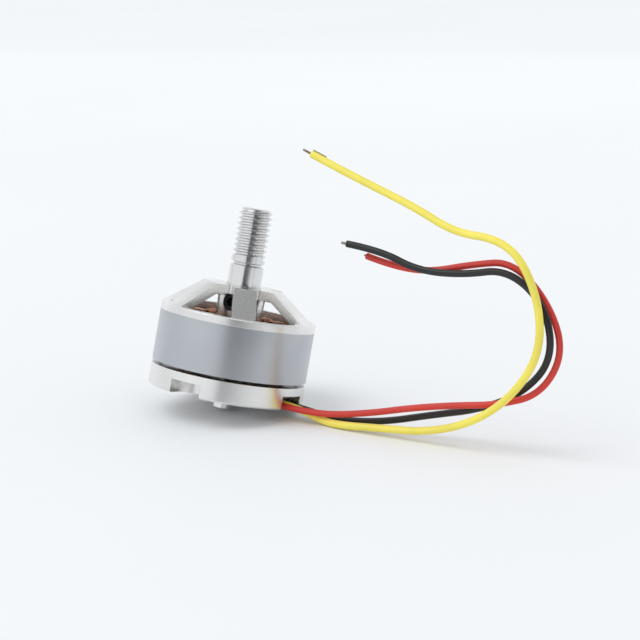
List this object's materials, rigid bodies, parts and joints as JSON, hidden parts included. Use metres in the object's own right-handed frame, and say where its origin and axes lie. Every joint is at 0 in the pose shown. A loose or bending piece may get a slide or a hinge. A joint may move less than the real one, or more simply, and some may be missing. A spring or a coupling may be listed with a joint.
{
  "type": "brushless outrunner motor",
  "caption": "Small brushless outrunner motor with a spoked bell, a threaded propeller shaft and bare-ended phase leads that stand up from the base.",
  "frame": {"origin": "centre of the mounting face, on the shaft axis", "axes": "+Z along the shaft towards the propeller, +X towards the slot that the leads leave through"},
  "size_m": [0.0638, 0.023, 0.04],
  "materials": {
    "base_aluminium": "turned satin aluminium",
    "cap_aluminium": "machined bright aluminium",
    "flux_ring_steel": "ground satin steel",
    "shaft_steel": "bright turned stainless steel",
    "black_oxide_steel": "black oxide",
    "spring_steel": "dark spring steel",
    "shim_steel": "rolled steel",
    "bearing_steel": "polished bearing steel",
    "core_steel": "stacked electrical steel",
    "insulator_coating": "epoxy coating",
    "winding_copper": "enamelled copper wire",
    "magnet_nickel": "nickel plating",
    "tinned_copper": "tinned strands",
    "yellow_sleeve": "satin silicone sleeve",
    "red_sleeve": "satin silicone sleeve",
    "black_sleeve": "satin silicone sleeve"
  },
  "bodies": {
    "stator": {"black_lead": "black_sleeve", "black_phase_tail": "winding_copper", "black_wire_end": "tinned_copper", "coil_01": "winding_copper", "coil_02": "winding_copper", "coil_03": "winding_copper", "coil_04": "winding_copper", "coil_05": "winding_copper", "coil_06": "winding_copper", "coil_07": "winding_copper", "coil_08": "winding_copper", "coil_09": "winding_copper", "coil_10": "winding_copper", "coil_11": "winding_copper", "coil_12": "winding_copper", "lower_bearing_outer_ring": "bearing_steel", "lower_bearing_shields": "bearing_steel", "lower_insulator": "insulator_coating", "mounting_base": "base_aluminium", "red_lead": "red_sleeve", "red_phase_tail": "winding_copper", "red_wire_end": "tinned_copper", "stator_core": "core_steel", "upper_bearing_outer_ring": "bearing_steel", "upper_bearing_shields": "bearing_steel", "upper_insulator": "insulator_coating", "yellow_lead": "yellow_sleeve", "yellow_phase_tail": "winding_copper", "yellow_wire_end": "tinned_copper"},
    "rotor": {"end_cap": "cap_aluminium", "flux_ring": "flux_ring_steel", "lower_bearing_inner_ring": "bearing_steel", "lower_shim": "shim_steel", "magnet_01": "magnet_nickel", "magnet_02": "magnet_nickel", "magnet_03": "magnet_nickel", "magnet_04": "magnet_nickel", "magnet_05": "magnet_nickel", "magnet_06": "magnet_nickel", "magnet_07": "magnet_nickel", "magnet_08": "magnet_nickel", "magnet_09": "magnet_nickel", "magnet_10": "magnet_nickel", "magnet_11": "magnet_nickel", "magnet_12": "magnet_nickel", "magnet_13": "magnet_nickel", "magnet_14": "magnet_nickel", "retaining_clip": "spring_steel", "set_screw": "black_oxide_steel", "shaft": "shaft_steel", "upper_bearing_inner_ring": "bearing_steel", "upper_shim": "shim_steel"},
    "lower_ball_set": {"lower_bearing_balls": "bearing_steel", "lower_bearing_cage": "bearing_steel"},
    "upper_ball_set": {"upper_bearing_balls": "bearing_steel", "upper_bearing_cage": "bearing_steel"}
  },
  "joints": [
    {"name": "rotor_spin", "type": "hinge", "parent": "stator", "child": "rotor", "pos_m": [0, 0, 0.0055], "axis": [0, 0, 1], "continuous": true},
    {"name": "lower_balls_orbit", "type": "hinge", "parent": "stator", "child": "lower_ball_set", "pos_m": [0, 0, 0.00165], "axis": [0, 0, 1], "continuous": true},
    {"name": "upper_balls_orbit", "type": "hinge", "parent": "stator", "child": "upper_ball_set", "pos_m": [0, 0, 0.00935], "axis": [0, 0, 1], "continuous": true}
  ],
  "couplings": [
    {"joint": "lower_balls_orbit", "follows": "rotor_spin", "ratio": 0.4111},
    {"joint": "upper_balls_orbit", "follows": "rotor_spin", "ratio": 0.4111}
  ]
}
